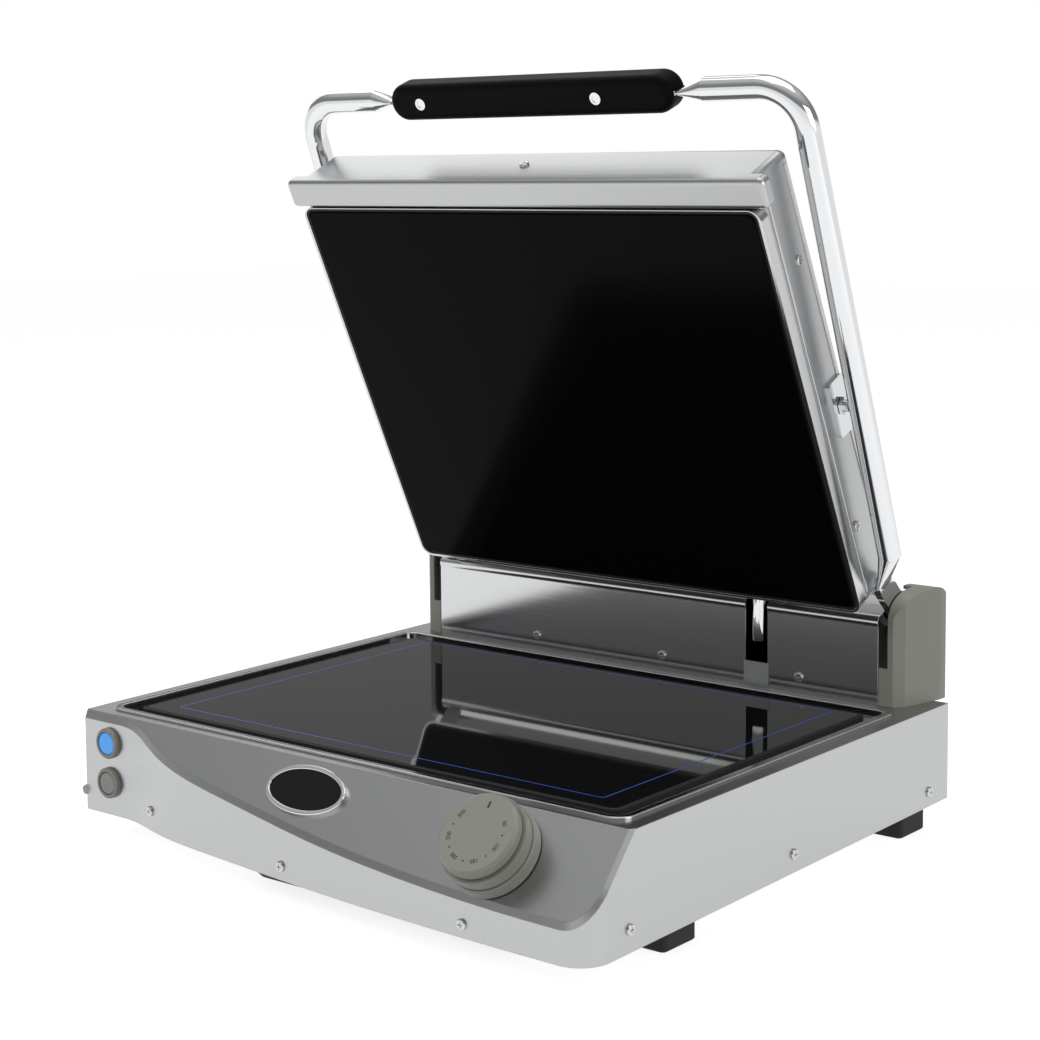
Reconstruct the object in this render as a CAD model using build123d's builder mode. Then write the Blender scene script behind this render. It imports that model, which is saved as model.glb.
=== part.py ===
from build123d import *
from math import cos, radians, sin
import os

os.makedirs("parts", exist_ok=True)

# A countertop contact grill with a hinged lid, shown open.
# Millimetres, +Z up, +X to the viewer's right, -Y towards the user.
# Z is zero under the feet, X is zero at the middle, Y is zero at the middle of the whole.

# Base housing
base_width = 452.0
base_depth = 366.0
front_edge_y = -164.256
rim_height = 86.0
bottom_front_z = 16.5
bottom_rear_z = 20.7
sheet = 1.5
front_bulge = 42.0
left_front_set = 3.0
swell_drops = ((0.22, 39.5), (0.02, 33.5), (-0.165, 24.5), (-0.335, 11.5))
corner_radius = 20.0
panel_slope = 0.9
crease_ledge = 2.6
panel_inset_share = 0.6
lip = 5.0

# Feet
foot_width = 40.0
foot_length = 34.0
foot_side_in = 11.0
foot_front_y = 46.0
foot_rear_y = 322.0
foot_seat_z = 22.0
foot_corner = 4.0
foot_edge = 1.0
plate_fit = 0.2
vent_length = 40.0
vent_width = 5.0
vent_pitch_x = 26.0
vent_pitch_y = 60.0
vents_across = 9
vents_deep = 2
vent_middle_y = base_depth * 0.6
pan_middle_x = 45.0
pan_width = 212.0
pan_front_y = -15.0
pan_depth = 90.0
pan_floor_z = 7.0
pan_corner = 14.0
pan_edge = 3.0

# Cooking surface, centred at surface_y behind the front edge
surface_y = 163.0
surround_side_in = 12.0
surround_width = base_width - 2 * surround_side_in
surround_depth = 312.0
surround_corner = 12.0
surround_lap = 3.0
surround_fit = 0.5
bead_width = 5.0
bead_height = 1.9
gutter_width = 10.0
gutter_drop = 3.4
gutter_floor = 1.6
glass_thickness = 4.0
glass_proud = 0.6
seal_width = 2.5
glass_ledge = 8.0
glass_corner = 4.0
glass_edge = 0.4
glass_fit = 0.3
heater_thickness = 1.5
heater_gap = 1.0
heater_clear = 4.0
heater_corner = 5.0
tray_height = 22.0
tray_lap = 6.0

# Front controls
knob_side_in = 79.0
knob_x = base_width / 2 - knob_side_in
knob_slope_y = 21.0
knob_length = 24.0
knob_skirt_radius = 28.5
knob_skirt_length = 9.0
knob_skirt_step = 1.5
knob_dial_radius = 26.7
knob_waist_radius = 27.5
knob_neck_radius = 24.6
knob_cap_radius = 25.8
knob_cap_length = 6.0
knob_cap_edge = 1.8
knob_socket_depth = 12.0
knob_stand_off = 0.8
knob_shaft_radius = 3.0
shaft_fit = 0.05
shaft_hole_clear = 2.0
shaft_depth = 15.4
thermostat_radius = 20.0
thermostat_length = 22.0
thermostat_bore_depth = 17.6
thermostat_set_back = 2.025
badge_x = -7.5
badge_slope_y = 14.5
badge_length = 64.0
badge_height = 33.0
badge_thickness = 3.0
badge_rim_width = 3.0
badge_field_thickness = 1.8
button_side_in = 24.0
button_x = button_side_in - base_width / 2
button_top_drop = 19.5
button_pitch = 27.2
button_radius = 7.5
button_travel = 2.5
button_proud = 3.0
bezel_radius = 10.4
bezel_neck = 9.0
bezel_clear = 1.8
flat_front_end = button_x + bezel_radius + bezel_clear
bezel_fit = 0.05
bezel_proud = 3.2
button_stem = 8.0
button_fit = 0.35
switch_length = 18.0
switch_size = 20.0
switch_gap = 0.5

# Screws of the housing
screw_radius = 3.4
screw_proud = 1.6
recess_width = 0.7
side_screw_z = 30.5
side_screw_first = -3.0
side_screw_rear_in = 26.0
side_screw_pitch = (base_depth - side_screw_rear_in - side_screw_first) / 2
screw_beside_flat = 35.8
screw_beside_knob = 10.0
front_screw_spots = (
    (flat_front_end + screw_beside_flat, 30.0),
    (-15.0, 25.5),
    (knob_x - screw_beside_knob, 24.6),
)
splash_screw_z = 97.0
splash_screw_pitch = 114.0
splash_screw_middle = 17.0

# Rear housing and its splash wall
splash_y = 331.0
housing_side_in = 34.0
housing_half = base_width / 2 - housing_side_in
housing_rear_y = 380.0
splash_top = 61.0
roof_peak = 73.0
roll_radius = 5.0
housing_wall = 1.5
roof_shoulder = 20.0
roof_ridge = 34.0
roof_fall = 3.0
roof_chamfer = 12.0
rear_chamfer = 4.0
roll_set = 0.8
stub_clear = 1.5
slot_x = 96.5
slot_width = 18.0
slot_floor = 17.0
slot_depth = 34.0
slot_reach = 8.0
step_thickness = 0.6
step_lap = 1.0

# Hinge line, measured from the front edge and the rim
hinge_y = 364.0
hinge_rise = 50.0
stub_radius = 8.0
running_fit = 0.06
bush_radius = 12.0
bush_length = 12.0
bracket_in = 24.0
bracket_x = housing_half - bracket_in
bracket_set = 1.5
bracket_corner = 3.0
stub_reach = 28.0
stub_inner = bracket_x - stub_reach
bracket_thickness = 4.0
bracket_width = 28.0
bracket_height = 62.0

# Hinge covers
cover_joint = 0.5
cover_inner = housing_half + cover_joint
cover_front_width = 14.5
cover_rear_width = 24.5
cover_rear_y = 384.0
cover_height = 77.0
cover_wall = 2.5
cover_edge = 2.0
cover_front_step = 4.0
cover_nose = 6.0
cover_nose_out = 2.0
cover_rear_run = 12.0
cover_rear_corner = 5.0
cover_crown_back = 6.0
cover_shoulder_drop = 20.0
arm_slot_width = 6.6
arm_slot_floor = 25.5
arm_slot_back = 33.0
slot_through = 5.0
slot_cut_height = 80.0

# Lid, laid out from its rear lower edge on the glass side
lid_angle = 64.4
lid_edge_y = 308.9
lid_edge_rise = 67.7
lid_side_gap = 2.0
lid_half = housing_half - lid_side_gap
lid_depth = 50.0
lid_wall = 1.5
lid_glass_side_in = 2.5
lid_glass_width = 2 * (lid_half - lid_glass_side_in)
lid_glass_start = 1.3
lid_glass_length = 292.0
lid_glass_middle = lid_glass_start + lid_glass_length / 2
lid_glass_corner = 7.0
lid_glass_edge = 1.0
lid_frame_lap = 1.5
lid_frame_half = lid_half + lid_frame_lap
lid_frame_depth = 9.0
lid_frame_corner = 9.0
lid_frame_proud = 0.4
lid_frame_rim = 2.0
lid_seal_width = 1.9
lid_seal_proud = 0.8
lid_seal_fit = 0.1
lid_shell_corner = 5.0
lid_shell_set = 1.0
lid_back_round = 8.0
rail_side_out = 9.0
rail_half = lid_half + rail_side_out
rail_gap = 0.3
rail_corner = 4.0
rail_end_out = 1.0
rail_joint = 3.0
rail_start = lid_glass_start + lid_glass_length + rail_joint
rail_width = 19.7
lid_length = rail_start + rail_width
rail_round = 3.6
lid_tray_depth = 20.0
lid_tray_clear = 1.0
lid_tray_side_in = 0.5
lid_heater_in = 8.0
lid_screw_spots = ((246.0, 31.0), (54.0, 21.0))
lid_top_screw_depth = 26.0

# Lid pivots
pivot_u = 137.5
pivot_b = 36.0
stud_radius = 4.0
stud_reach = 7.0
stud_inner = lid_half - stud_reach
stud_hole_clear = 1.0
pivot_plate_corner = 4.0
pivot_plate_long = 40.0
pivot_plate_wide = 20.0
pivot_plate_thickness = 2.0
stud_nut_radius = 6.5
stud_nut_length = 2.6
pivot_gap = 0.4

# Lifting arms and their handle
tube_radius = 8.0
bar_beyond_lid = 38.02
bar_behind_glass = 53.3
bar_bend = 28.0
arm_foot_y = 320.5
arm_foot_rise = 105.0
blade_top_y = 331.0
blade_top_rise = 82.0
blade_x = cover_inner + arm_slot_width / 2
blade_thickness = 5.0
blade_eye = 13.0
arm_step_out = 10.2
arm_x = blade_x + arm_step_out
stub_proud = 1.0
stub_outer = blade_x + blade_thickness / 2 + stub_proud
stub_edge = 0.6
blade_half_width = 9.0
grip_half = 118.0
grip_height = 26.0
grip_depth = 21.0
grip_edge = 6.0
taper_length = 20.0
taper_gap = 1.0
taper_thickness = 4.0
taper_width = 15.0
tang_thickness = 2.8
tang_width = 12.0
tang_fit = 0.2
tang_end_gap = 2.0
pocket_run_out = 4.0
left_tang = 38.0
right_tang = 66.0
left_grip_screw_in = 29.0
right_grip_screw_in = 58.0
grip_screw_radius = 4.2
grip_screw_ring = 1.6
grip_screw_proud = 0.8
grip_screw_dish = 0.4

# Conduit that carries the lid's wires, and the cable inlet at the back
conduit_x = 95.5
conduit_b = 28.0
conduit_low_y = 338.0
conduit_low_rise = 32.0
conduit_radius = 6.0
conduit_bore = 5.0
conduit_nut_radius = 8.0
conduit_nut_length = 3.0
conduit_fit = 0.05
conduit_hole_reach = 6.0
conduit_in = 1.5
conduit_straight = 5.0
conduit_end_lean = 0.15
inlet_side_in = 76.0
inlet_x = base_width / 2 - inlet_side_in
inlet_rise = -34.0
inlet_radius = 9.0
inlet_bore = 4.5
inlet_length = 12.0
inlet_neck = 7.0
inlet_neck_length = 4.5
inlet_edge = 2.0


def level(rise):
    """Height above the ground of a rise above the rim."""
    return rim_height + rise


def back(distance):
    """Y of a distance behind the base's front top edge."""
    return front_edge_y + distance


hinge_point = (back(hinge_y), level(hinge_rise))
tilt = radians(lid_angle)
along_lid = (-cos(tilt), sin(tilt))
into_lid = (sin(tilt), cos(tilt))
lid_plane = Plane(
    origin=(0, back(lid_edge_y), level(lid_edge_rise)),
    x_dir=(1, 0, 0),
    z_dir=(0, -sin(tilt), -cos(tilt)),
)


def lid_spot(u, b):
    """Y and Z of a place on the lid: u along it, b behind its glass."""
    y = back(lid_edge_y) + u * along_lid[0] + b * into_lid[0]
    z = level(lid_edge_rise) + u * along_lid[1] + b * into_lid[1]
    return y, z


arm_side = arm_x - tube_radius


def save(piece, name):
    """Name a finished piece and write it out."""
    piece.part.label = name
    export_step(piece.part, f"parts/{name}.step")


def plan_outline(inset):
    """The base seen from above, moved in by inset."""
    half = base_width / 2 - inset
    front = back(-front_bulge + inset)
    shallow = back(-left_front_set + inset)
    rear = back(base_depth - inset)
    corner = corner_radius - inset
    with BuildSketch() as outline:
        with BuildLine():
            Line((-half, shallow), (-half, rear))
            Line((-half, rear), (half, rear))
            Line((half, rear), (half, front + corner))
            RadiusArc((half, front + corner), (half - corner, front), corner)
            swell = Spline(
                (half - corner, front),
                *((base_width * share, back(inset - drop)) for share, drop in swell_drops),
                (flat_front_end, shallow),
                tangents=((-1, 0), (-1, 0)),
            )
            Line(swell @ 1, (-half, shallow))
        make_face()
    return outline.sketch


def side_outline(inset, floor_drop):
    """The base seen from its side, moved in by inset at the top and the front panel."""
    top = rim_height - inset
    panel_top = back(inset * panel_inset_share)
    low = front_bulge + corner_radius
    with BuildSketch(Plane.YZ) as outline:
        with BuildLine():
            Polyline(
                (back(base_depth + 1), top),
                (panel_top, top),
                (panel_top - low * panel_slope, top - low),
                (panel_top - low * panel_slope, bottom_front_z - floor_drop),
                (back(base_depth + 1), bottom_rear_z - floor_drop),
                close=True,
            )
        make_face()
    return outline.sketch


def rounded(width, depth, radius, centre, plane):
    """A rectangle with round corners on a plane."""
    with BuildSketch(plane) as shape:
        with Locations(centre):
            RectangleRounded(width, depth, radius)
    return shape.sketch


def ring(outer, inner, radius, centre, plane):
    """A rectangular ring with round corners on a plane."""
    rim = (outer[0] - inner[0]) / 2
    with BuildSketch(plane) as shape:
        with Locations(centre):
            RectangleRounded(outer[0], outer[1], radius)
            RectangleRounded(inner[0], inner[1], max(radius - rim, 1.0), mode=Mode.SUBTRACT)
    return shape.sketch


def disc(radius, centre, plane):
    """A round face on a plane."""
    with BuildSketch(plane) as shape:
        with Locations(centre):
            Circle(radius)
    return shape.sketch


surface_centre = (0, back(surface_y))
panel_normal = Vector(0, -1, panel_slope).normalized()


def panel_plane(x, drop):
    """A plane on the slanted front panel, drop below the rim, facing out."""
    origin = (x, back(-drop * panel_slope), level(-drop))
    return Plane(origin=origin, x_dir=(1, 0, 0), z_dir=panel_normal)


knob_plane = panel_plane(knob_x, knob_slope_y / panel_slope)
badge_plane = panel_plane(badge_x, badge_slope_y / panel_slope)
button_face = back(-left_front_set)


def button_plane(index, out):
    """A plane facing the user at a push button, standing out from the front face."""
    z = level(-button_top_drop - index * button_pitch)
    return Plane(origin=(button_x, button_face - out, z), x_dir=(1, 0, 0), z_dir=(0, -1, 0))


# Base shell, open below, with the front panel slanted and the sides upright
surround_open_width = surround_width - 2 * surround_lap
surround_open_depth = surround_depth - 2 * surround_lap
open_corner = surround_corner - surround_lap
with BuildPart() as base_shell:
    extrude(plan_outline(0), amount=rim_height + 1)
    extrude(side_outline(0, 0), amount=base_width, both=True, mode=Mode.INTERSECT)
    crease = (
        base_shell.edges()
        .filter_by(lambda e: e.center().Y < back(-2.0))
        .filter_by(lambda e: level(-front_bulge * 1.2) < e.center().Z < level(-2.0))
        .filter_by(lambda e: e.length > base_width / 4)
    )
    chamfer(crease, crease_ledge)
    with BuildPart(mode=Mode.PRIVATE) as hollow:
        extrude(plan_outline(sheet), amount=rim_height + 1)
        extrude(side_outline(sheet, lip), amount=base_width, both=True, mode=Mode.INTERSECT)
    add(hollow.part, mode=Mode.SUBTRACT)
    extrude(
        rounded(
            surround_open_width,
            surround_open_depth,
            open_corner,
            surface_centre,
            Plane.XY.offset(level(-lip)),
        ),
        amount=2 * lip,
        mode=Mode.SUBTRACT,
    )
    shaft_hole = disc(knob_shaft_radius + shaft_hole_clear, (0, 0), knob_plane)
    extrude(shaft_hole, amount=lip, both=True, mode=Mode.SUBTRACT)
    for index in range(2):
        bezel_hole = disc(bezel_neck + bezel_fit, (0, 0), button_plane(index, 0))
        extrude(bezel_hole, amount=lip, both=True, mode=Mode.SUBTRACT)
    inlet_plane = Plane(
        origin=(inlet_x, back(base_depth), level(inlet_rise)), x_dir=(-1, 0, 0), z_dir=(0, 1, 0)
    )
    extrude(disc(inlet_neck, (0, 0), inlet_plane), amount=lip, both=True, mode=Mode.SUBTRACT)
save(base_shell, "base_shell")

# Bottom plate with vent slots, held inside the shell's lower edge
with BuildPart() as bottom_plate:
    extrude(plan_outline(sheet + plate_fit), amount=foot_seat_z + sheet)
    below_plate = rounded(base_width * 2, base_depth * 3, sheet, (0, 0), Plane.XY)
    extrude(below_plate, amount=foot_seat_z, mode=Mode.SUBTRACT)
    with BuildSketch(Plane.XY.offset(foot_seat_z)):
        with Locations((0, back(vent_middle_y))):
            with GridLocations(vent_pitch_x, vent_pitch_y, vents_across, vents_deep):
                SlotOverall(vent_length, vent_width, rotation=90)
    extrude(amount=sheet, mode=Mode.SUBTRACT)
save(bottom_plate, "bottom_plate")

# Shallow dark pan under the front of the bottom plate
with BuildPart() as floor_pan:
    pan_centre = (pan_middle_x, back(pan_front_y + pan_depth / 2))
    extrude(
        rounded(pan_width, pan_depth, pan_corner, pan_centre, Plane.XY.offset(pan_floor_z)),
        amount=foot_seat_z - pan_floor_z,
    )
    chamfer(floor_pan.faces().sort_by(Axis.Z)[0].edges(), pan_edge)
save(floor_pan, "floor_pan")

# Four block feet
foot_x = base_width / 2 - foot_side_in - foot_width / 2
for side, x in (("left", -foot_x), ("right", foot_x)):
    for end, start in (("front", foot_front_y), ("rear", foot_rear_y)):
        with BuildPart() as foot:
            foot_spot = (x, back(start + foot_length / 2))
            extrude(rounded(foot_width, foot_length, foot_corner, foot_spot, Plane.XY), amount=foot_seat_z)
            chamfer(foot.faces().sort_by(Axis.Z)[0].edges(), foot_edge)
        save(foot, f"foot_{end}_{side}")

# Pressed surround with a raised bead and a gutter around the glass
gutter_outer = (surround_width - 2 * bead_width, surround_depth - 2 * bead_width)
gutter_inner = (gutter_outer[0] - 2 * gutter_width, gutter_outer[1] - 2 * gutter_width)
glass_size = (gutter_inner[0] - 2 * seal_width, gutter_inner[1] - 2 * seal_width)
ledge_opening = (glass_size[0] - 2 * glass_ledge, glass_size[1] - 2 * glass_ledge)
floor_top = level(-gutter_drop)
wall_outer = (surround_open_width - 2 * surround_fit, surround_open_depth - 2 * surround_fit)
wall_corner = open_corner - 2 * surround_fit
floor_plane = Plane.XY.offset(floor_top - gutter_floor)
with BuildPart() as surround:
    extrude(
        ring(
            (surround_width, surround_depth),
            gutter_outer,
            surround_corner,
            surface_centre,
            Plane.XY.offset(level(0)),
        ),
        amount=bead_height,
    )
    fillet(surround.faces().sort_by(Axis.Z)[-1].edges(), bead_height * 0.45)
    extrude(
        ring(wall_outer, gutter_outer, wall_corner, surface_centre, floor_plane),
        amount=gutter_drop + gutter_floor,
    )
    extrude(
        ring(wall_outer, ledge_opening, wall_corner, surface_centre, floor_plane),
        amount=gutter_floor,
    )
save(surround, "surround")

# Black seal, lower glass and the heater under it
with BuildPart() as glass_seal:
    extrude(
        ring(gutter_inner, glass_size, 6, surface_centre, Plane.XY.offset(floor_top)),
        amount=gutter_drop + glass_proud * 0.5,
    )
save(glass_seal, "glass_seal")

with BuildPart() as lower_glass:
    extrude(
        rounded(
            glass_size[0] - 2 * glass_fit,
            glass_size[1] - 2 * glass_fit,
            glass_corner,
            surface_centre,
            Plane.XY.offset(floor_top),
        ),
        amount=glass_thickness,
    )
    chamfer(lower_glass.faces().sort_by(Axis.Z)[-1].edges(), glass_edge)
save(lower_glass, "lower_glass")

tray_size = (ledge_opening[0] + 2 * tray_lap, ledge_opening[1] + 2 * tray_lap)
tray_top = floor_top - gutter_floor
tray_corner = heater_corner + 1
with BuildPart() as heater_tray:
    tray_outline = rounded(*tray_size, tray_corner, surface_centre, Plane.XY.offset(tray_top - tray_height))
    extrude(tray_outline, amount=tray_height)
    extrude(
        rounded(
            tray_size[0] - 2 * sheet,
            tray_size[1] - 2 * sheet,
            heater_corner,
            surface_centre,
            Plane.XY.offset(tray_top - tray_height + sheet),
        ),
        amount=tray_height,
        mode=Mode.SUBTRACT,
    )
save(heater_tray, "heater_tray")

element_size = (ledge_opening[0] - 2 * heater_clear, ledge_opening[1] - 2 * heater_clear)
element_top = floor_top - heater_gap
element_floor = element_top - heater_thickness
tray_floor = tray_top - tray_height + sheet
with BuildPart() as lower_insulation:
    block_outline = rounded(*element_size, heater_corner, surface_centre, Plane.XY.offset(tray_floor))
    extrude(block_outline, amount=element_floor - tray_floor)
save(lower_insulation, "lower_insulation")

with BuildPart() as lower_element:
    sheet_outline = rounded(*element_size, heater_corner, surface_centre, Plane.XY.offset(element_floor))
    extrude(sheet_outline, amount=heater_thickness)
save(lower_element, "lower_element")

# Thermostat behind the panel, its shaft and its knob
with BuildPart() as thermostat:
    can = disc(thermostat_radius, (0, 0), knob_plane.offset(-thermostat_set_back))
    extrude(can, amount=-thermostat_length)
    extrude(
        disc(knob_shaft_radius + shaft_fit, (0, 0), knob_plane),
        amount=-thermostat_bore_depth,
        mode=Mode.SUBTRACT,
    )
save(thermostat, "thermostat")

with BuildPart() as knob_shaft:
    extrude(
        disc(knob_shaft_radius, (0, 0), knob_plane.offset(-shaft_depth)),
        amount=shaft_depth + knob_socket_depth,
    )
save(knob_shaft, "knob_shaft")

knob_outward = Axis(knob_plane.origin, knob_plane.z_dir)
waist_length = (knob_length - knob_skirt_length) / 2
neck_length = knob_length - knob_cap_length - knob_skirt_length
with BuildPart() as knob:
    skirt = disc(knob_skirt_radius, (0, 0), knob_plane.offset(knob_stand_off))
    extrude(skirt, amount=knob_skirt_length - knob_skirt_step)
    chamfer(knob.edges().sort_by(knob_outward)[-1], knob_skirt_step / 2)
    dial = disc(knob_dial_radius, (0, 0), knob_plane.offset(knob_stand_off))
    extrude(dial, amount=knob_skirt_length)
    waist = disc(knob_waist_radius, (0, 0), knob_plane.offset(knob_stand_off + knob_skirt_length))
    extrude(waist, amount=waist_length)
    neck = disc(knob_neck_radius, (0, 0), knob_plane.offset(knob_stand_off + knob_skirt_length))
    extrude(neck, amount=neck_length)
    cap = disc(knob_cap_radius, (0, 0), knob_plane.offset(knob_stand_off + knob_length - knob_cap_length))
    extrude(cap, amount=knob_cap_length)
    chamfer(knob.edges().sort_by(knob_outward)[-1], knob_cap_edge)
    extrude(disc(knob_shaft_radius, (0, 0), knob_plane), amount=knob_socket_depth, mode=Mode.SUBTRACT)
save(knob, "knob")

# Oval badge, left bare
with BuildPart() as badge_rim:
    with BuildSketch(badge_plane):
        Ellipse(badge_length / 2, badge_height / 2)
        Ellipse(badge_length / 2 - badge_rim_width, badge_height / 2 - badge_rim_width, mode=Mode.SUBTRACT)
    extrude(amount=badge_thickness)
    fillet(badge_rim.faces().sort_by(Axis(badge_plane.origin, badge_plane.z_dir))[-1].edges(), 0.8)
save(badge_rim, "badge_rim")

with BuildPart() as badge_field:
    with BuildSketch(badge_plane):
        Ellipse(badge_length / 2 - badge_rim_width, badge_height / 2 - badge_rim_width)
    extrude(amount=badge_field_thickness)
save(badge_field, "badge_field")

# Two push buttons in round bezels, each with its switch
neck_reach = button_stem + button_travel + switch_gap
for index, name in enumerate(("upper", "lower")):
    with BuildPart() as bezel:
        extrude(disc(bezel_radius, (0, 0), button_plane(index, 0)), amount=bezel_proud)
        fillet(bezel.edges().sort_by(Axis.Y)[0], 1.2)
        extrude(disc(bezel_neck, (0, 0), button_plane(index, 0)), amount=-neck_reach)
        extrude(
            disc(button_radius + button_fit, (0, 0), button_plane(index, bezel_proud)),
                amount=-2 * switch_length,
            mode=Mode.SUBTRACT,
        )
    save(bezel, f"bezel_{name}")
    with BuildPart() as button:
        button_top = disc(button_radius, (0, 0), button_plane(index, button_proud))
        extrude(button_top, amount=-(button_stem + button_proud))
        fillet(button.edges().sort_by(Axis.Y)[0], 0.9)
    save(button, f"button_{name}")
    with BuildPart() as switch:
        switch_outline = rounded(switch_size, switch_size, sheet, (0, 0), button_plane(index, -neck_reach))
        extrude(switch_outline, amount=-switch_length)
    save(switch, f"switch_{name}")


def screw_head(plane):
    """A domed screw head seated on a plane, with a cross recess."""
    with BuildPart(mode=Mode.PRIVATE) as head:
        extrude(disc(screw_radius, (0, 0), plane), amount=screw_proud)
        fillet(head.edges().sort_by(Axis(plane.origin, plane.z_dir))[-1], screw_proud * 0.6)
        with BuildSketch(plane.offset(screw_proud)):
            Rectangle(screw_radius * 1.1, recess_width)
            Rectangle(recess_width, screw_radius * 1.1)
        extrude(amount=-screw_proud * 0.45, mode=Mode.SUBTRACT)
    return head.part


def save_screws(planes, name):
    """Write a group of screw heads as one piece."""
    with BuildPart() as screws:
        for plane in planes:
            add(screw_head(plane))
    save(screws, name)


def front_face_plane(x, z):
    """A plane on the bulged front face at x and z, facing out."""
    outline = plan_outline(0)
    line = Edge.make_line((x, back(-front_bulge - lip), 0), (x, back(corner_radius), 0))
    found = (edge.distance_to_with_closest_points(line) for edge in outline.edges())
    spot = min(found, key=lambda near: near[0])
    foot_point = spot[1]
    before = min(outline.edges(), key=lambda edge: edge.distance_to(foot_point))
    along = before.tangent_at(before.param_at_point(foot_point))
    if along.X < 0:
        along = -along
    facing = Vector(along.Y, -along.X, 0)
    return Plane(origin=(foot_point.X, foot_point.Y, z), x_dir=along, z_dir=facing)


save_screws([front_face_plane(x, z) for x, z in front_screw_spots], "front_screws")
for side, sign in (("left", -1), ("right", 1)):
    side_planes = []
    for index in range(3):
        spot = (sign * base_width / 2, back(side_screw_first + index * side_screw_pitch), side_screw_z)
        side_planes.append(Plane(origin=spot, x_dir=(0, sign, 0), z_dir=(sign, 0, 0)))
    save_screws(side_planes, f"side_screws_{side}")

# Rear housing with its splash wall, rolled top edge and the conduit's slot
inner_shoulder = level(roof_peak - roof_fall - housing_wall)
with BuildPart() as rear_housing:
    with BuildSketch(Plane.YZ):
        with BuildLine():
            Polyline(
                (back(splash_y), level(0)),
                (back(splash_y), level(splash_top - roll_radius)),
                (back(splash_y) + roll_radius - roll_set, level(splash_top)),
                (back(splash_y + roof_shoulder), level(roof_peak - roof_fall)),
                (back(splash_y + roof_ridge), level(roof_peak)),
                (back(housing_rear_y) - rear_chamfer, level(roof_peak - roof_fall)),
                (back(housing_rear_y), level(roof_peak - roof_chamfer)),
                (back(housing_rear_y), level(0)),
                close=True,
            )
        make_face()
    extrude(amount=housing_half, both=True)
    with BuildSketch(Plane.YZ):
        with Locations((back(splash_y) + roll_radius - roll_set, level(splash_top - roll_radius))):
            Circle(roll_radius)
    extrude(amount=housing_half, both=True)
    with BuildSketch(Plane.YZ):
        with BuildLine():
            Polyline(
                (back(splash_y) + housing_wall, level(housing_wall)),
                (back(splash_y) + housing_wall, level(splash_top - roll_radius)),
                (back(splash_y) + roll_radius + housing_wall, level(splash_top - housing_wall)),
                (back(splash_y + roof_shoulder), inner_shoulder),
                (back(splash_y + roof_ridge), level(roof_peak - housing_wall)),
                (back(housing_rear_y) - rear_chamfer - housing_wall, inner_shoulder),
                (back(housing_rear_y) - housing_wall, level(roof_peak - roof_chamfer - housing_wall)),
                (back(housing_rear_y) - housing_wall, level(housing_wall)),
                close=True,
            )
        make_face()
    extrude(amount=housing_half - housing_wall, both=True, mode=Mode.SUBTRACT)
    with BuildSketch(Plane.XZ.offset(-back(splash_y + slot_depth))):
        with Locations((slot_x, level(slot_floor) + slot_cut_height / 2)):
            Rectangle(slot_width, slot_cut_height)
    extrude(amount=slot_depth + slot_reach, mode=Mode.SUBTRACT)
    with BuildSketch(Plane.YZ):
        with Locations(hinge_point):
            Circle(stub_radius + stub_clear)
    extrude(amount=housing_half + slot_through, both=True, mode=Mode.SUBTRACT)
save(rear_housing, "rear_housing")

with BuildPart() as slot_step:
    with BuildSketch(Plane.XZ.offset(-back(splash_y))):
        with Locations((slot_x, level((slot_floor + step_lap) / 2))):
            Rectangle(slot_width + 2 * step_lap, slot_floor - step_lap)
    extrude(amount=step_thickness)
save(slot_step, "slot_step")

splash_planes = []
for index in range(3):
    spot = (splash_screw_middle + (index - 1) * splash_screw_pitch, back(splash_y), splash_screw_z)
    splash_planes.append(Plane(origin=spot, x_dir=(1, 0, 0), z_dir=(0, -1, 0)))
save_screws(splash_planes, "splash_screws")

# Hinge brackets and bushes inside the housing, one pair a side
for side, sign in (("left", -1), ("right", 1)):
    with BuildPart() as bracket:
        with BuildSketch(Plane.YZ.offset(sign * bracket_x)):
            with Locations((hinge_point[0] - bracket_set, level(housing_wall) + bracket_height / 2)):
                RectangleRounded(bracket_width, bracket_height, bracket_corner)
            with Locations(hinge_point):
                Circle(bush_radius, mode=Mode.SUBTRACT)
        extrude(amount=bracket_thickness / 2, both=True)
    save(bracket, f"hinge_bracket_{side}")
    with BuildPart() as bush:
        with BuildSketch(Plane.YZ.offset(sign * bracket_x)):
            with Locations(hinge_point):
                Circle(bush_radius)
                Circle(stub_radius + running_fit, mode=Mode.SUBTRACT)
        extrude(amount=bush_length / 2, both=True)
    save(bush, f"hinge_bush_{side}")


def cover_plan(sign, inset):
    """A hinge cover seen from above, moved in by inset on its outer sides."""
    inner = cover_inner - cover_joint * 2 if inset else cover_inner
    front_out = cover_inner + cover_front_width - inset
    rear_out = cover_inner + cover_rear_width - inset
    front = back(splash_y) + inset
    rear = back(cover_rear_y) - inset
    with BuildSketch(Plane.XY.offset(level(-1))) as outline:
        with BuildLine():
            Polyline(
                (sign * inner, front),
                (sign * (front_out - cover_front_step), front),
                (sign * (front_out + cover_nose_out), front + cover_nose),
                (sign * rear_out, rear - cover_rear_run),
                (sign * rear_out, rear - cover_rear_corner),
                (sign * (rear_out - cover_rear_corner), rear),
                (sign * inner, rear),
                close=True,
            )
        make_face()
    return outline.sketch


def cover_side(inset, low):
    """A hinge cover seen from the side, moved in by inset."""
    with BuildSketch(Plane.YZ) as outline:
        with BuildLine():
            front = (back(splash_y) + inset, level(splash_top - 1))
            crown = (back(hinge_y + cover_crown_back), level(cover_height) - inset)
            shoulder = (back(cover_rear_y) - inset, level(cover_height - cover_shoulder_drop))
            Line((front[0], low), front)
            Spline(front, crown, tangents=((0.3, 1), (1, 0)))
            Spline(crown, shoulder, tangents=((1, 0), (0, -1)))
            Line(shoulder, (shoulder[0], low))
            Line((shoulder[0], low), (front[0], low))
        make_face()
    return outline.sketch


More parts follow.
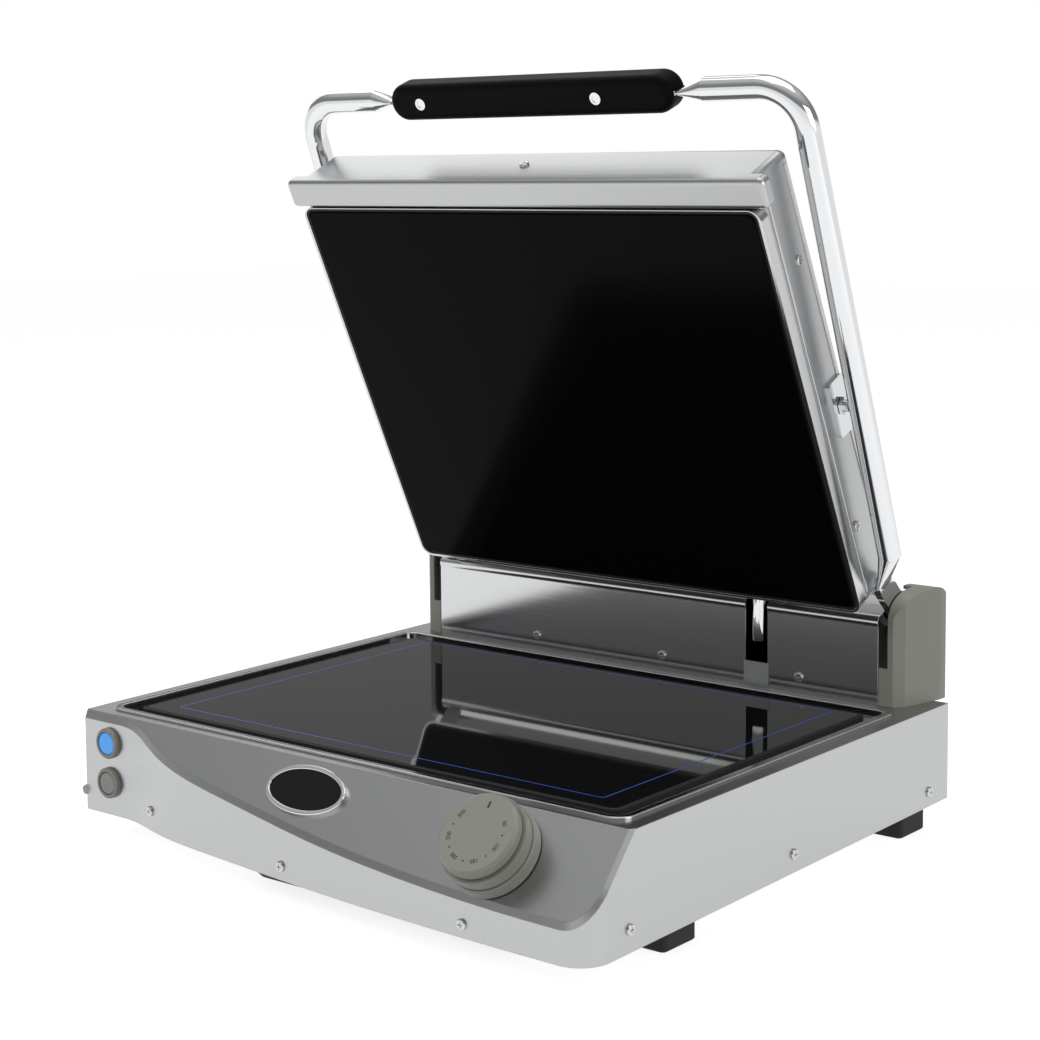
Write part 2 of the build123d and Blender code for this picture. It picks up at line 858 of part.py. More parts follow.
# Hinge covers, hollow and open towards the housing, each with a slot for its arm
slot_middle_y = back(splash_y + arm_slot_back / 2 - slot_through)
for side, sign in (("left", -1), ("right", 1)):
    with BuildPart(mode=Mode.PRIVATE) as cavity:
        extrude(cover_plan(sign, cover_wall), amount=cover_height * 1.5)
        extrude(cover_side(cover_wall, level(-2)), amount=sign * base_width, mode=Mode.INTERSECT)
    with BuildPart() as cover:
        extrude(cover_plan(sign, 0), amount=cover_height * 1.5)
        extrude(cover_side(0, level(0)), amount=sign * base_width, mode=Mode.INTERSECT)
        outer_face = cover.faces().sort_by(Axis.X)[0 if sign < 0 else -1]
        upper_edges = outer_face.edges().filter_by(lambda e: e.center().Z > level(cover_shoulder_drop))
        fillet(upper_edges, cover_edge)
        add(cavity.part, mode=Mode.SUBTRACT)
        with BuildSketch(Plane.YZ.offset(sign * cover_inner)):
            with Locations((slot_middle_y, level(arm_slot_floor) + slot_cut_height / 2)):
                Rectangle(arm_slot_back + 2 * slot_through, slot_cut_height)
        extrude(amount=sign * arm_slot_width, mode=Mode.SUBTRACT)
    save(cover, f"hinge_cover_{side}")

# Cable inlet at the back of the base, with no cord in it
with BuildPart() as cable_inlet:
    extrude(disc(inlet_radius, (0, 0), inlet_plane), amount=inlet_length)
    fillet(cable_inlet.edges().sort_by(Axis.Y)[-1], inlet_edge)
    extrude(disc(inlet_neck, (0, 0), inlet_plane), amount=-inlet_neck_length)
    bore_mouth = disc(inlet_bore, (0, 0), inlet_plane.offset(inlet_length))
    extrude(bore_mouth, amount=-inlet_length * 3, mode=Mode.SUBTRACT)
save(cable_inlet, "cable_inlet")


def on_lid(b):
    """The lid's plane b behind the glass face, looking out of the glass."""
    return lid_plane.offset(-b)


def lid_box(width, start, end, front, rear, radius, mode=Mode.ADD):
    """A box on the lid from u start to end and from b front to rear."""
    middle = (0, (start + end) / 2)
    outline = rounded(width, end - start, radius, middle, on_lid(front))
    return extrude(outline, amount=front - rear, mode=mode)


# Lid glass with its seal, frame and the heater behind it
glass_start = lid_glass_middle - lid_glass_length / 2
glass_end = lid_glass_middle + lid_glass_length / 2
seal_gap = lid_frame_half - lid_frame_rim - lid_glass_width / 2
seal_out = 2 * lid_seal_width
with BuildPart() as lid_glass:
    extrude(
        rounded(lid_glass_width, lid_glass_length, lid_glass_corner, (0, lid_glass_middle), on_lid(0)),
        amount=-glass_thickness,
    )
    chamfer(lid_glass.faces().sort_by(Axis(lid_plane.origin, lid_plane.z_dir))[-1].edges(), lid_glass_edge)
save(lid_glass, "lid_glass")

seal_outer = (lid_glass_width + 2 * (seal_gap - lid_seal_fit), lid_glass_length + seal_out)
seal_inner = (lid_glass_width + 2 * lid_seal_fit, lid_glass_length + 2 * lid_seal_fit)
with BuildPart() as lid_seal:
    extrude(
        ring(seal_outer, seal_inner, lid_glass_corner, (0, lid_glass_middle), on_lid(lid_seal_proud)),
        amount=-glass_thickness,
    )
save(lid_seal, "lid_seal")

with BuildPart() as lid_frame:
    frame_end = rail_start - rail_gap
    frame_start = glass_start - seal_out
    frame_middle = (0, (frame_start + frame_end) / 2)
    with BuildSketch(on_lid(lid_frame_proud)):
        with Locations(frame_middle):
            RectangleRounded(2 * lid_frame_half, frame_end - frame_start, lid_frame_corner)
        with Locations((0, lid_glass_middle)):
            RectangleRounded(
                seal_outer[0] + 2 * lid_seal_fit,
                seal_outer[1] + 2 * lid_seal_fit,
                lid_glass_corner,
                mode=Mode.SUBTRACT,
            )
    extrude(amount=lid_frame_proud - lid_frame_depth)
save(lid_frame, "lid_frame")

tray_front = glass_thickness
tray_rear = glass_thickness + lid_tray_depth
tray_half = lid_glass_width / 2 - lid_tray_side_in
tray_start = glass_start + lid_tray_clear
tray_end = glass_end - lid_tray_clear
with BuildPart() as lid_tray:
    lid_box(2 * tray_half, tray_start, tray_end, tray_front, tray_rear, lid_glass_corner)
    lid_box(
        2 * (tray_half - lid_wall),
        tray_start + lid_wall,
        tray_end - lid_wall,
        tray_front,
        tray_rear - lid_wall,
        lid_glass_corner - 1,
        Mode.SUBTRACT,
    )
save(lid_tray, "lid_tray")

with BuildPart() as lid_insulation:
    lid_box(
        lid_glass_width - 2 * lid_heater_in,
        glass_start + lid_heater_in,
        glass_end - lid_heater_in,
        tray_front + heater_gap + heater_thickness,
        tray_rear - lid_wall,
        heater_corner,
    )
save(lid_insulation, "lid_insulation")

with BuildPart() as lid_element:
    lid_box(
        lid_glass_width - 2 * lid_heater_in,
        glass_start + lid_heater_in,
        glass_end - lid_heater_in,
        tray_front + heater_gap,
        tray_front + heater_gap + heater_thickness,
        heater_corner,
    )
save(lid_element, "lid_element")

# Lid shell, open towards the glass, with its pivot holes and the conduit's hole
shell_start = frame_start + lid_shell_set
with BuildPart(mode=Mode.PRIVATE) as lid_hollow:
    lid_box(
        2 * (lid_half - lid_wall),
        shell_start + lid_wall,
        lid_length - lid_wall,
        lid_frame_depth - lid_wall,
        lid_depth - lid_wall,
        lid_shell_corner,
    )
    hollow_back = lid_hollow.faces().sort_by(Axis(lid_plane.origin, lid_plane.z_dir))[0]
    fillet(hollow_back.edges(), lid_back_round - lid_wall)
with BuildPart() as lid_shell:
    lid_box(2 * lid_half, shell_start, lid_length, lid_frame_depth, lid_depth, lid_shell_corner)
    back_face = lid_shell.faces().sort_by(Axis(lid_plane.origin, lid_plane.z_dir))[0]
    fillet(back_face.edges(), lid_back_round)
    add(lid_hollow.part, mode=Mode.SUBTRACT)
    with BuildSketch(Plane.YZ):
        with Locations(lid_spot(pivot_u, pivot_b)):
            Circle(stud_radius + stud_hole_clear)
    extrude(amount=lid_half + slot_through, both=True, mode=Mode.SUBTRACT)
    conduit_hole = Plane(
        origin=(conduit_x, *lid_spot(shell_start, conduit_b)),
        x_dir=(1, 0, 0),
        z_dir=(0, *along_lid),
    )
    conduit_cut = disc(conduit_radius + conduit_fit, (0, 0), conduit_hole)
    extrude(conduit_cut, amount=conduit_hole_reach, both=True, mode=Mode.SUBTRACT)
save(lid_shell, "lid_shell")

# Flat front rail of the lid, with a rolled front corner and round ends
with BuildPart() as lid_rail:
    lid_box(2 * rail_half, rail_start, lid_length + rail_end_out, 0, lid_frame_depth, rail_corner)
    roll = (
        lid_rail.edges()
        .filter_by(Axis.X)
        .sort_by(Axis(lid_plane.origin, lid_plane.y_dir))[-2:]
        .sort_by(Axis(lid_plane.origin, lid_plane.z_dir))[-1]
    )
    fillet(roll, rail_round)
save(lid_rail, "lid_rail")

# Lid screws: two a side and one in the middle of the front wall
top_spot = (0, *lid_spot(lid_length, lid_top_screw_depth))
lid_screw_planes = [Plane(origin=top_spot, x_dir=(1, 0, 0), z_dir=(0, *along_lid))]
for sign in (-1, 1):
    for u, b in lid_screw_spots:
        spot = (sign * lid_half, *lid_spot(u, b))
        lid_screw_planes.append(Plane(origin=spot, x_dir=(0, *along_lid), z_dir=(sign, 0, 0)))
save_screws(lid_screw_planes, "lid_screws")

# Lid pivots: a plate on the lid and a stud with its nut on the arm
for side, sign in (("left", -1), ("right", 1)):
    pivot_spot = (sign * lid_half, *lid_spot(pivot_u, pivot_b))
    pivot_plane = Plane(origin=pivot_spot, x_dir=(0, *along_lid), z_dir=(sign, 0, 0))
    with BuildPart() as pivot_plate:
        plate_outline = rounded(pivot_plate_long, pivot_plate_wide, pivot_plate_corner, (0, 0), pivot_plane)
        extrude(plate_outline, amount=pivot_plate_thickness)
        extrude(
            disc(stud_radius + running_fit, (0, 0), pivot_plane),
            amount=pivot_plate_thickness,
            mode=Mode.SUBTRACT,
        )
    save(pivot_plate, f"pivot_plate_{side}")
    with BuildPart() as stud:
        stud_outline = disc(stud_radius, (0, 0), pivot_plane.offset(stud_inner - lid_half))
        extrude(stud_outline, amount=arm_side - stud_inner)
        extrude(
            disc(stud_nut_radius, (0, 0), pivot_plane.offset(-lid_wall - pivot_gap)),
            amount=-stud_nut_length,
        )
        with BuildSketch(pivot_plane.offset(pivot_plate_thickness + pivot_gap)):
            RegularPolygon(stud_nut_radius, 6)
        extrude(amount=stud_nut_length)
    save(stud, f"pivot_stud_{side}")

# Conduit from the lid down into the rear housing, with a nut at the lid
with BuildPart() as conduit:
    with BuildLine() as conduit_path:
        inner_end = (conduit_x, *lid_spot(conduit_in, conduit_b))
        straight = Line(inner_end, (conduit_x, *lid_spot(-conduit_straight, conduit_b)))
        Spline(
            straight @ 1,
            (conduit_x, back(conduit_low_y), level(conduit_low_rise)),
            tangents=(straight % 1, (0, conduit_end_lean, -1)),
        )
    with BuildSketch(Plane(origin=straight @ 0, z_dir=straight % 0)):
        Circle(conduit_radius)
        Circle(conduit_bore, mode=Mode.SUBTRACT)
    sweep()
save(conduit, "conduit")

with BuildPart() as conduit_nut:
    extrude(disc(conduit_nut_radius, (0, 0), conduit_hole), amount=-conduit_nut_length)
    extrude(conduit_cut, amount=conduit_hole_reach, both=True, mode=Mode.SUBTRACT)
save(conduit_nut, "conduit_nut")

# Lifting arms: a flat blade at the hinge, a round tube, and a flat tang in the grip
bar_spot = lid_spot(lid_length + bar_beyond_lid, bar_behind_glass)
foot_spot = (back(arm_foot_y), level(arm_foot_rise))
blade_spot = (back(blade_top_y), level(blade_top_rise))
arm_direction = Vector(0, bar_spot[0] - foot_spot[0], bar_spot[1] - foot_spot[1]).normalized()
grip_facing = Vector(0, -arm_direction.Z, arm_direction.Y)
for side, sign, tang in (("left", -1, left_tang), ("right", 1, right_tang)):
    with BuildPart() as arm:
        with BuildSketch(Plane.YZ.offset(sign * blade_x)):
            with Locations(hinge_point):
                Circle(blade_eye)
            SlotCenterPoint(
                ((hinge_point[0] + blade_spot[0]) / 2, (hinge_point[1] + blade_spot[1]) / 2),
                blade_spot,
                2 * blade_half_width,
            )
            with Locations(hinge_point):
                Circle(stub_radius, mode=Mode.SUBTRACT)
        extrude(amount=blade_thickness / 2, both=True)
        with BuildSketch(Plane(origin=(sign * blade_x, *blade_spot), x_dir=(1, 0, 0), z_dir=arm_direction)):
            Ellipse(blade_thickness / 2, blade_half_width)
        with BuildSketch(Plane(origin=(sign * arm_x, *foot_spot), x_dir=(1, 0, 0), z_dir=arm_direction)):
            Circle(tube_radius)
        loft()
        with BuildLine() as tube_path:
            FilletPolyline(
                (sign * arm_x, *foot_spot),
                (sign * arm_x, *bar_spot),
                (sign * (grip_half + taper_length), *bar_spot),
                radius=bar_bend,
            )
        with BuildSketch(Plane(origin=(sign * arm_x, *foot_spot), x_dir=(1, 0, 0), z_dir=arm_direction)):
            Circle(tube_radius)
        sweep(path=tube_path.line)
        taper_end = Plane(
            origin=(sign * (grip_half + taper_gap), *bar_spot), x_dir=arm_direction, z_dir=(-sign, 0, 0)
        )
        with BuildSketch(taper_end.offset(taper_gap - taper_length)):
            Circle(tube_radius)
        with BuildSketch(taper_end):
            Ellipse(taper_thickness / 2, taper_width / 2)
        loft()
        with BuildSketch(taper_end):
            Rectangle(tang_thickness, tang_width)
        extrude(amount=tang)
    save(arm, f"arm_{side}")

    with BuildPart() as stub:
        with BuildSketch(Plane.YZ.offset(sign * stub_inner)):
            with Locations(hinge_point):
                Circle(stub_radius)
        extrude(amount=sign * (stub_outer - stub_inner))
        chamfer(stub.edges().filter_by(GeomType.CIRCLE), stub_edge)
    save(stub, f"hinge_stub_{side}")

# Black grip over the two tangs, with its two screws
grip_plane = Plane(origin=(0, *bar_spot), x_dir=(1, 0, 0), z_dir=grip_facing)
with BuildPart() as grip:
    with BuildSketch(grip_plane.offset(-grip_depth / 2)):
        SlotOverall(2 * grip_half, grip_height)
    extrude(amount=grip_depth)
    grip_out = Axis(grip_plane.origin, grip_plane.z_dir)
    fillet(grip.edges().group_by(grip_out)[-1], grip_edge)
    fillet(grip.edges().group_by(grip_out)[0], grip_edge)
    for sign, tang in ((-1, left_tang), (1, right_tang)):
        mouth = sign * (grip_half + taper_gap + pocket_run_out)
        pocket = Plane(origin=(mouth, *bar_spot), x_dir=arm_direction, z_dir=(-sign, 0, 0))
        with BuildSketch(pocket):
            Rectangle(tang_thickness + 2 * tang_fit, tang_width + 2 * tang_fit)
        extrude(amount=tang + pocket_run_out + tang_end_gap, mode=Mode.SUBTRACT)
save(grip, "grip")

for side, x in (
    ("left", -grip_half + left_grip_screw_in),
    ("right", grip_half - right_grip_screw_in),
):
    with BuildPart() as grip_screw:
        screw_plane = Plane(origin=(x, *bar_spot), x_dir=(1, 0, 0), z_dir=grip_facing).offset(grip_depth / 2)
        dish = disc(grip_screw_radius - grip_screw_ring, (0, 0), screw_plane)
        extrude(disc(grip_screw_radius, (0, 0), screw_plane), amount=grip_screw_proud)
        extrude(dish, amount=grip_screw_proud, mode=Mode.SUBTRACT)
        extrude(dish, amount=grip_screw_dish)
    save(grip_screw, f"grip_screw_{side}")
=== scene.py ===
"""Looks of a countertop contact grill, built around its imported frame."""

import logging
from dataclasses import dataclass, field
from enum import Enum
from math import cos, pi, radians, sin

import bmesh
import bpy
from mathutils import Matrix, Vector


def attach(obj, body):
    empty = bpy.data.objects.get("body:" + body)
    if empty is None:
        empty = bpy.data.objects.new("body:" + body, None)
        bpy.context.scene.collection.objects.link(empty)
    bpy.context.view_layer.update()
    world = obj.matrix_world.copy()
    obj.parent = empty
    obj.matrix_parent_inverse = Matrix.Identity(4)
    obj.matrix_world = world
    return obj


Colour = tuple[float, float, float]
Spot = tuple[float, float, float]

log = logging.getLogger("grill")
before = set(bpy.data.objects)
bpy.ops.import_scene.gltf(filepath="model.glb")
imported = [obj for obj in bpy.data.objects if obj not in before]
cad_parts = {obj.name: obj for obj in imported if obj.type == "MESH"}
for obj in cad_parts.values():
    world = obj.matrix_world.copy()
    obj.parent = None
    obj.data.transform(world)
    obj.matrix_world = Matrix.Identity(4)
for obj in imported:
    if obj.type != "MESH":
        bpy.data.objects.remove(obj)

# Lengths are in metres, as in the frame.
FRONT_EDGE_Y = -0.164256
RIM_HEIGHT = 0.086
LID_ANGLE = radians(64.4)
# How far the front panel comes forward for each length that it drops.
PANEL_SLOPE = 0.9
COAT_ROUGHNESS = 0.04
EDGE_SAMPLES = 4
FIGURE_RELIEF = 0.00006
CORNER_STEPS = 6
CORNER_SIDES = ((1, 1), (-1, 1), (-1, -1), (1, -1))


def back(distance: float) -> float:
    """Y in metres of a place behind the base's front top edge.

    Args:
        distance: how far behind the edge, in metres.

    Returns:
        The Y of that place in the frame.
    """
    return FRONT_EDGE_Y + distance


def level(rise: float) -> float:
    """Z in metres of a place above the base's rim.

    Args:
        rise: height above the rim, in metres.

    Returns:
        The Z of that place in the frame.
    """
    return RIM_HEIGHT + rise


def turned_place(across: Vector, along: Vector, out: Vector, spot: Vector) -> Matrix:
    """A place with its own three directions.

    Args:
        across: its X direction.
        along: its Y direction.
        out: its Z direction.
        spot: where it is.

    Returns:
        The place as a matrix.
    """
    place = Matrix((across, along, out)).transposed().to_4x4()
    place.translation = spot
    return place


def stand(name: str, data: bpy.types.ID) -> bpy.types.Object:
    """Put new data into the scene as an object.

    Args:
        name: the object's name.
        data: its mesh, curve, light or camera.

    Returns:
        The new object.
    """
    item = bpy.data.objects.new(name, data)
    bpy.context.scene.collection.objects.link(item)
    return item


@dataclass(frozen=True)
class Relief:
    """The fine relief of a worked surface."""

    density: Spot
    strength: float
    depth: float = 0.0002


class Grain(Enum):
    """How the surface of a finish is worked, and the relief that this leaves."""

    PLAIN = None
    ALONG_X = Relief((6.0, 700.0, 700.0), 0.05)
    MOULDED = Relief((900.0, 900.0, 900.0), 0.10)


@dataclass(frozen=True)
class Finish:
    """One surface finish, made of procedural nodes only."""

    name: str
    colour: Colour
    metallic: float = 0.0
    roughness: float = 0.5
    grain: Grain = Grain.PLAIN
    specular: float = 0.5
    coat: float = 0.0
    glow: float = 0.0
    edge: float = 0.0

    def build(self) -> bpy.types.Material:
        """Make the finish as a material.

        Returns:
            A new material with its values set on the shader itself.
        """
        material = bpy.data.materials.new(self.name)
        material.use_nodes = True
        nodes = material.node_tree.nodes
        links = material.node_tree.links
        shader = nodes["Principled BSDF"]
        shader.inputs["Base Color"].default_value = (*self.colour, 1.0)
        shader.inputs["Metallic"].default_value = self.metallic
        shader.inputs["Roughness"].default_value = self.roughness
        shader.inputs["Specular IOR Level"].default_value = self.specular
        shader.inputs["Coat Weight"].default_value = self.coat
        shader.inputs["Coat Roughness"].default_value = COAT_ROUGHNESS
        if self.glow:
            shader.inputs["Emission Color"].default_value = (*self.colour, 1.0)
            shader.inputs["Emission Strength"].default_value = self.glow
        normal = None
        if self.edge:
            bevel = nodes.new("ShaderNodeBevel")
            bevel.samples = EDGE_SAMPLES
            bevel.inputs["Radius"].default_value = self.edge
            normal = bevel.outputs["Normal"]
        if self.grain is not Grain.PLAIN:
            normal = self._relief(nodes, links, normal)
        if normal is not None:
            links.new(normal, shader.inputs["Normal"])
        return material

    def _relief(
        self,
        nodes: bpy.types.Nodes,
        links: bpy.types.NodeLinks,
        normal: bpy.types.NodeSocket | None,
    ) -> bpy.types.NodeSocket:
        """Add the fine relief of the grain.

        Args:
            nodes: the material's nodes.
            links: the material's links.
            normal: the output that carries the normal so far, or None.

        Returns:
            The output that carries the normal with the relief in it.
        """
        relief = self.grain.value
        place = nodes.new("ShaderNodeTexCoord")
        stretch = nodes.new("ShaderNodeMapping")
        noise = nodes.new("ShaderNodeTexNoise")
        bump = nodes.new("ShaderNodeBump")
        stretch.inputs["Scale"].default_value = relief.density
        noise.inputs["Scale"].default_value = 1.0
        bump.inputs["Strength"].default_value = relief.strength
        bump.inputs["Distance"].default_value = relief.depth
        links.new(place.outputs["Object"], stretch.inputs["Vector"])
        links.new(stretch.outputs["Vector"], noise.inputs["Vector"])
        links.new(noise.outputs["Fac"], bump.inputs["Height"])
        if normal is not None:
            links.new(normal, bump.inputs["Normal"])
        return bump.outputs["Normal"]


class Finishes(Enum):
    """The finishes of the grill."""

    SATIN_STEEL = Finish(
        "satin_steel", (0.46, 0.465, 0.47), 1.0, 0.30, Grain.ALONG_X, edge=0.0007
    )
    BRIGHT_STEEL = Finish(
        "bright_steel", (0.56, 0.565, 0.57), 1.0, 0.14, Grain.ALONG_X, edge=0.0005
    )
    DULL_STEEL = Finish("dull_steel", (0.42, 0.43, 0.43), 1.0, 0.42, Grain.ALONG_X)
    CHROME = Finish("chrome_plate", (0.70, 0.71, 0.72), 1.0, 0.07)
    LOWER_GLASS = Finish("lower_black_glass", (0.010, 0.010, 0.011), 0.0, 0.035)
    LID_GLASS = Finish("lid_black_glass", (0.003, 0.003, 0.004), 0.0, 0.14, specular=0.035)
    RUBBER = Finish("black_rubber_skin", (0.012, 0.012, 0.012), 0.0, 0.75, Grain.MOULDED)
    BLACK_GRIP = Finish(
        "black_grip_skin", (0.004, 0.004, 0.004), 0.0, 0.50, Grain.MOULDED, specular=0.05
    )
    WARM_GREY = Finish(
        "warm_grey_plastic", (0.30, 0.30, 0.265), 0.0, 0.45, Grain.MOULDED, edge=0.0006
    )
    KNOB_GREY = Finish(
        "knob_grey_plastic", (0.34, 0.34, 0.30), 0.0, 0.38, Grain.MOULDED, edge=0.0004
    )
    BLUE_LAMP = Finish("blue_lamp", (0.02, 0.26, 0.70), 0.0, 0.25, coat=0.5, glow=0.55)
    GREY_BUTTON = Finish("grey_button", (0.32, 0.33, 0.31), 0.0, 0.3)
    BADGE_BLACK = Finish("badge_enamel", (0.006, 0.006, 0.006), 0.0, 0.25, specular=0.2)
    # The zone line is real blue print with a painted glow: it emits light though it is no lamp.
    ZONE_PRINT_AND_GLOW = Finish("zone_line", (0.03, 0.07, 0.42), 0.0, 0.4, glow=0.18)
    DARK_PRINT = Finish("dark_print", (0.03, 0.03, 0.03), 0.0, 0.6)
    WOOL = Finish("mineral_wool", (0.70, 0.67, 0.60), 0.0, 0.95, Grain.MOULDED)
    BRASS = Finish("plain_brass", (0.60, 0.44, 0.18), 1.0, 0.30)


class Paintbox:
    """Makes each finish once, puts it on pieces and keeps what each piece wears."""

    def __init__(self) -> None:
        """Start with no finish made and no piece dressed."""
        self.made: dict[Finishes, bpy.types.Material] = {}
        self.worn: dict[str, Finishes] = {}

    def material(self, choice: Finishes) -> bpy.types.Material:
        """Give the material of a finish.

        Args:
            choice: the finish wanted.

        Returns:
            Its material, made at the first call.
        """
        if choice not in self.made:
            self.made[choice] = choice.value.build()
        return self.made[choice]

    def dress(self, choice: Finishes, *names: str) -> None:
        """Put a finish on frame nodes.

        Args:
            choice: the finish.
            names: the nodes that take it.
        """
        for name in names:
            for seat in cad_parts[name].material_slots:
                seat.material = self.material(choice)
            self.worn[name] = choice

    def add(
        self, mesh: bpy.types.Mesh, name: str, choice: Finishes, body: str, slot: str
    ) -> bpy.types.Object:
        """Make a piece of a mesh and let it ride on a body.

        Args:
            mesh: the finished mesh.
            name: the piece's name.
            choice: its finish.
            body: the body that carries it.
            slot: not used.

        Returns:
            The new piece.
        """
        piece = stand(name, mesh)
        mesh.materials.clear()
        mesh.materials.append(self.material(choice))
        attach(piece, body)
        self.worn[name] = choice
        return piece


def finished_mesh(work: bmesh.types.BMesh, name: str) -> bpy.types.Mesh:
    """Turn finished work into a mesh and free the work.

    Args:
        work: the work.
        name: the mesh's name.

    Returns:
        The new mesh.
    """
    mesh = bpy.data.meshes.new(name)
    work.to_mesh(mesh)
    work.free()
    return mesh


def ring_mesh(
    name: str, outer: list[Vector], inner: list[Vector], lift: Vector
) -> bpy.types.Mesh:
    """Make a closed band between two outlines of as many points.

    Args:
        name: the mesh's name.
        outer: points of the outer outline, in order.
        inner: points of the inner outline, in the same order.
        lift: how far the band rises.

    Returns:
        A closed mesh.
    """
    work = bmesh.new()
    rows = []
    for points in (outer, inner, [p + lift for p in inner], [p + lift for p in outer]):
        rows.append([work.verts.new(point) for point in points])
    count = len(outer)
    for index in range(count):
        after = (index + 1) % count
        for low, high in ((0, 1), (1, 2), (2, 3), (3, 0)):
            corners = (
                rows[low][index], rows[low][after], rows[high][after], rows[high][index]
            )
            work.faces.new(corners)
    bmesh.ops.recalc_face_normals(work, faces=work.faces)
    return finished_mesh(work, name)


def bar_mesh(name: str, size: Spot, place: Matrix, round_by: float = 0.0) -> bpy.types.Mesh:
    """Make a bar, with softened edges where they are asked for.

    Args:
        name: the mesh's name.
        size: its three lengths in metres.
        place: where it goes, from its own middle.
        round_by: how far its edges are rounded.

    Returns:
        A closed mesh.
    """
    work = bmesh.new()
    bmesh.ops.create_cube(work, size=1.0)
    bmesh.ops.scale(work, vec=size, verts=work.verts)
    if round_by:
        bmesh.ops.bevel(
            work,
            geom=work.edges[:],
            offset=round_by,
            segments=2,
            affect="EDGES",
            profile=0.5,
        )
    bmesh.ops.transform(work, matrix=place, verts=work.verts)
    return finished_mesh(work, name)


def text_mesh(name: str, words: str, height: float, place: Matrix) -> bpy.types.Mesh:
    """Make a flat raised number.

    Args:
        name: the mesh's name.
        words: the figures to set.
        height: their height in metres.
        place: where their middle goes, with its Z facing out.

    Returns:
        A mesh of the figures.
    """
    curve = bpy.data.curves.new(name, "FONT")
    curve.body = words
    curve.size = height
    curve.extrude = FIGURE_RELIEF
    curve.align_x = "CENTER"
    curve.align_y = "CENTER"
    holder = stand(name, curve)
    bpy.context.view_layer.update()
    evaluated = holder.evaluated_get(bpy.context.evaluated_depsgraph_get())
    mesh = bpy.data.meshes.new_from_object(evaluated)
    mesh.transform(place)
    bpy.data.objects.remove(holder)
    bpy.data.curves.remove(curve)
    return mesh


def rounded_outline(
    half_x: float, half_y: float, corner: float, middle: Vector
) -> list[Vector]:
    """Points of a level rectangle with round corners.

    Args:
        half_x: half its width.
        half_y: half its depth.
        corner: its corner radius.
        middle: its middle.

    Returns:
        The points in order.
    """
    points = []
    for turn, (side_x, side_y) in enumerate(CORNER_SIDES):
        for step in range(CORNER_STEPS + 1):
            angle = (turn + step / CORNER_STEPS) * pi / 2
            x = side_x * (half_x - corner) + corner * cos(angle)
            y = side_y * (half_y - corner) + corner * sin(angle)
            points.append(middle + Vector((x, y, 0)))
    return points


@dataclass
class SubAssembly:
    """A group of the grill's pieces that are dressed and finished together."""

    paint: Paintbox

    def dress(self) -> None:
        """Put the finishes on the group's own nodes."""
        raise NotImplementedError

    def build(self) -> None:
        """Add the group's small pieces, where it has any."""


@dataclass
class BaseHousing(SubAssembly):
    """The base, its feet, its rear housing and the hinge covers."""

    def dress(self) -> None:
        """Put the finishes on the base's own nodes."""
        dress = self.paint.dress
        dress(Finishes.SATIN_STEEL, "base_shell")
        dress(Finishes.BRIGHT_STEEL, "rear_housing", "front_screws", "splash_screws")
        dress(Finishes.BRIGHT_STEEL, "side_screws_left", "side_screws_right")
        dress(Finishes.DULL_STEEL, "bottom_plate", "slot_step")
        dress(Finishes.DULL_STEEL, "hinge_bracket_left", "hinge_bracket_right")
        dress(Finishes.RUBBER, "foot_front_left", "foot_front_right")
        dress(Finishes.RUBBER, "foot_rear_left", "foot_rear_right")
        dress(Finishes.RUBBER, "floor_pan", "cable_inlet")
        dress(Finishes.RUBBER, "switch_upper", "switch_lower", "thermostat")
        dress(Finishes.WARM_GREY, "hinge_cover_left", "hinge_cover_right")
        dress(Finishes.BRASS, "hinge_bush_left", "hinge_bush_right")


@dataclass
class CookingSurface(SubAssembly):
    """The pressed surround, the lower glass and the line of its heated zone."""

    zone_width: float = 0.356
    zone_front: float = 0.0385
    zone_rear: float = 0.2967
    zone_corner: float = 0.003
    line: float = 0.0009
    line_thickness: float = 0.00004
    line_gap: float = 0.00001
    glass_top: float = 0.0006

    def dress(self) -> None:
        """Put the finishes on the surface's nodes."""
        self.paint.dress(Finishes.BRIGHT_STEEL, "surround")
        self.paint.dress(Finishes.LOWER_GLASS, "lower_glass")
        self.paint.dress(Finishes.RUBBER, "glass_seal")
        self.paint.dress(Finishes.DULL_STEEL, "heater_tray", "lower_element")
        self.paint.dress(Finishes.WOOL, "lower_insulation")

    def build(self) -> None:
        """Print the zone's thin line on the glass; its finish adds a faint painted glow."""
        half_x = self.zone_width / 2
        half_y = (self.zone_rear - self.zone_front) / 2
        middle_y = back((self.zone_front + self.zone_rear) / 2)
        middle = Vector((0, middle_y, level(self.glass_top) + self.line_gap))
        outer = rounded_outline(half_x, half_y, self.zone_corner, middle)
        inner = rounded_outline(
            half_x - self.line, half_y - self.line, self.zone_corner - self.line, middle
        )
        mesh = ring_mesh("zone_line", outer, inner, Vector((0, 0, self.line_thickness)))
        self.paint.add(mesh, "zone_line", Finishes.ZONE_PRINT_AND_GLOW, "base", "lower_glass")


